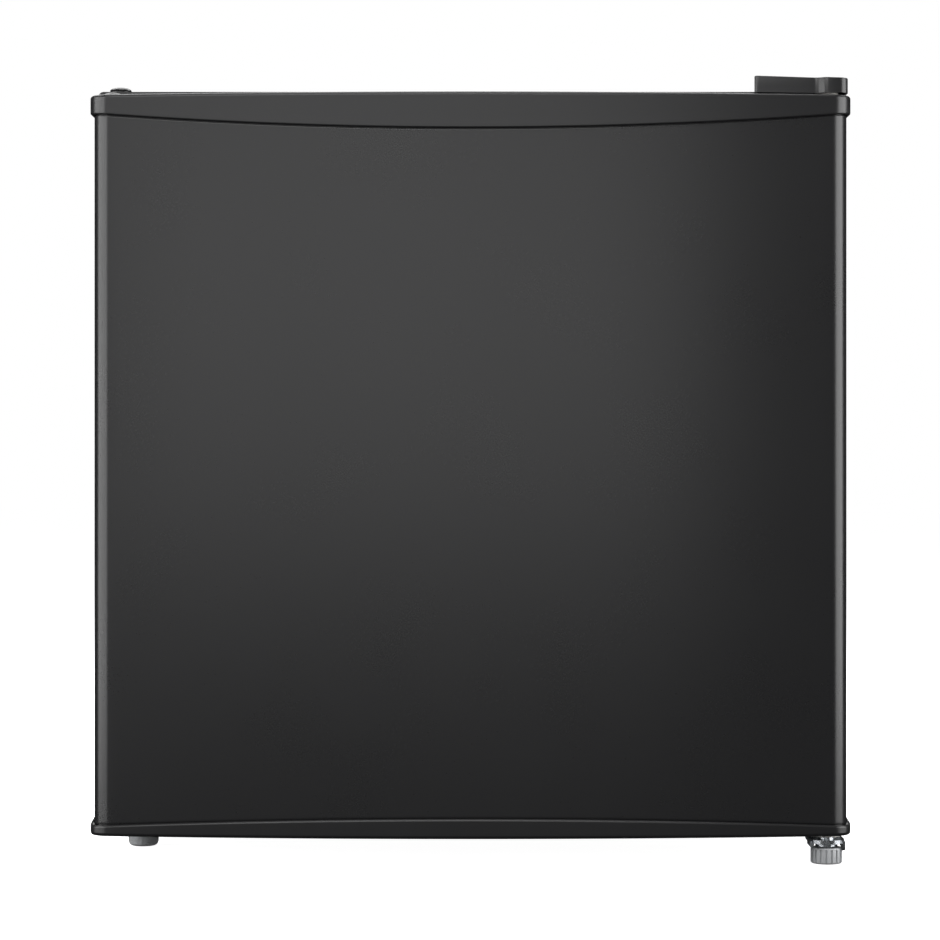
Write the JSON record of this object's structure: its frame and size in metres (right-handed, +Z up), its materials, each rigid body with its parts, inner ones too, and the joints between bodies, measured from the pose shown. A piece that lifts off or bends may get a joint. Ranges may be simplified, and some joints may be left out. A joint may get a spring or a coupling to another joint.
{
  "type": "mini fridge",
  "caption": "Cube-shaped table-top mini fridge with a bowed black door on the right-hand hinge, freezer box, shelf, door racks and rear condenser.",
  "frame": {"origin": "on the floor under the middle of the whole object's bounding box", "axes": "+Z up, -Y towards the user (the door's front), +X to the user's right, where the door is hinged"},
  "size_m": [0.472, 0.45, 0.4888],
  "materials": {
    "black_paint": "satin",
    "galvanised_sheet": "satin",
    "polyurethane_foam": "matte",
    "white_liner": "satin",
    "black_plastic": "matte",
    "black_rubber": "matte",
    "zinc_plate": "satin",
    "roll_bond_aluminium": "satin",
    "compressor_black": "satin",
    "copper": "satin",
    "cap_plastic": "satin",
    "gasket_vinyl": "matte",
    "clear_plastic": "gloss",
    "natural_nylon": "satin",
    "shelf_glass": "gloss",
    "grey_plastic": "satin"
  },
  "bodies": {
    "cabinet": {"outer_shell": "black_paint", "base_pan": "black_paint", "rear_panel": "galvanised_sheet", "bay_panel": "galvanised_sheet", "insulation_foam": "polyurethane_foam", "inner_liner": "white_liner", "compressor_mount_plate": "galvanised_sheet", "rear_foot_left": "black_plastic", "rear_foot_right": "black_plastic", "cord_gland": "black_rubber", "upper_hinge": "zinc_plate", "upper_hinge_screw_1": "zinc_plate", "upper_hinge_screw_2": "zinc_plate", "hinge_cover": "black_plastic", "cabinet_hole_plug": "black_plastic", "lower_hinge": "zinc_plate", "lower_hinge_screw_1": "zinc_plate", "lower_hinge_screw_2": "zinc_plate", "right_foot_nut": "zinc_plate", "left_foot_nut": "zinc_plate", "evaporator_box": "roll_bond_aluminium", "freezer_frame": "white_liner", "tray_runner_left": "white_liner", "tray_runner_right": "white_liner", "thermostat_housing": "white_liner", "compressor_body": "compressor_black", "compressor_grommet_1": "black_rubber", "compressor_grommet_2": "black_rubber", "compressor_grommet_3": "black_rubber", "compressor_bolt_1": "zinc_plate", "compressor_bolt_2": "zinc_plate", "compressor_bolt_3": "zinc_plate", "relay_cover": "black_plastic", "condenser_coil": "compressor_black", "filter_drier": "copper", "capillary_tube": "copper", "suction_pipe": "copper", "condenser_spacer_1": "black_plastic", "condenser_spacer_2": "black_plastic", "condenser_spacer_3": "black_plastic", "condenser_spacer_4": "black_plastic"},
    "door": {"door_skin": "black_paint", "door_top_cap": "cap_plastic", "door_bottom_cap": "cap_plastic", "door_foam": "polyurethane_foam", "door_liner": "white_liner", "door_gasket": "gasket_vinyl", "door_top_bush": "natural_nylon", "door_bottom_bush": "natural_nylon", "door_hole_plug": "cap_plastic", "upper_rack": "clear_plastic", "bottle_rack": "clear_plastic"},
    "freezer_flap": {"freezer_flap": "clear_plastic"},
    "drip_tray": {"drip_tray": "clear_plastic"},
    "shelf": {"shelf_glass": "shelf_glass", "shelf_trim": "white_liner"},
    "thermostat_knob": {"thermostat_knob": "grey_plastic"},
    "left_foot": {"left_foot": "grey_plastic"},
    "right_foot": {"right_foot": "grey_plastic"}
  },
  "joints": [
    {"name": "door_hinge", "type": "hinge", "parent": "cabinet", "child": "door", "pos_m": [0.222, -0.191, 0.248], "axis": [0, 0, 1], "range_deg": [0, 125]},
    {"name": "freezer_flap_hinge", "type": "hinge", "parent": "cabinet", "child": "freezer_flap", "pos_m": [0, -0.056, 0.417], "axis": [-1, 0, 0], "range_deg": [0, 85]},
    {"name": "drip_tray_slide", "type": "slide", "parent": "cabinet", "child": "drip_tray", "axis": [0, -1, 0], "range_m": [0, 0.06]},
    {"name": "shelf_slide", "type": "slide", "parent": "cabinet", "child": "shelf", "axis": [0, -1, 0], "range_m": [0, 0.06]},
    {"name": "thermostat_turn", "type": "hinge", "parent": "cabinet", "child": "thermostat_knob", "pos_m": [0.172, 0.025, 0.2926], "axis": [-1, 0, 0], "range_deg": [0, 270]},
    {"name": "left_foot_turn", "type": "hinge", "parent": "cabinet", "child": "left_foot", "pos_m": [-0.2135, -0.105, 0], "axis": [0, 0, 1], "continuous": true},
    {"name": "right_foot_turn", "type": "hinge", "parent": "cabinet", "child": "right_foot", "pos_m": [0.222, -0.191, 0], "axis": [0, 0, 1], "continuous": true}
  ]
}
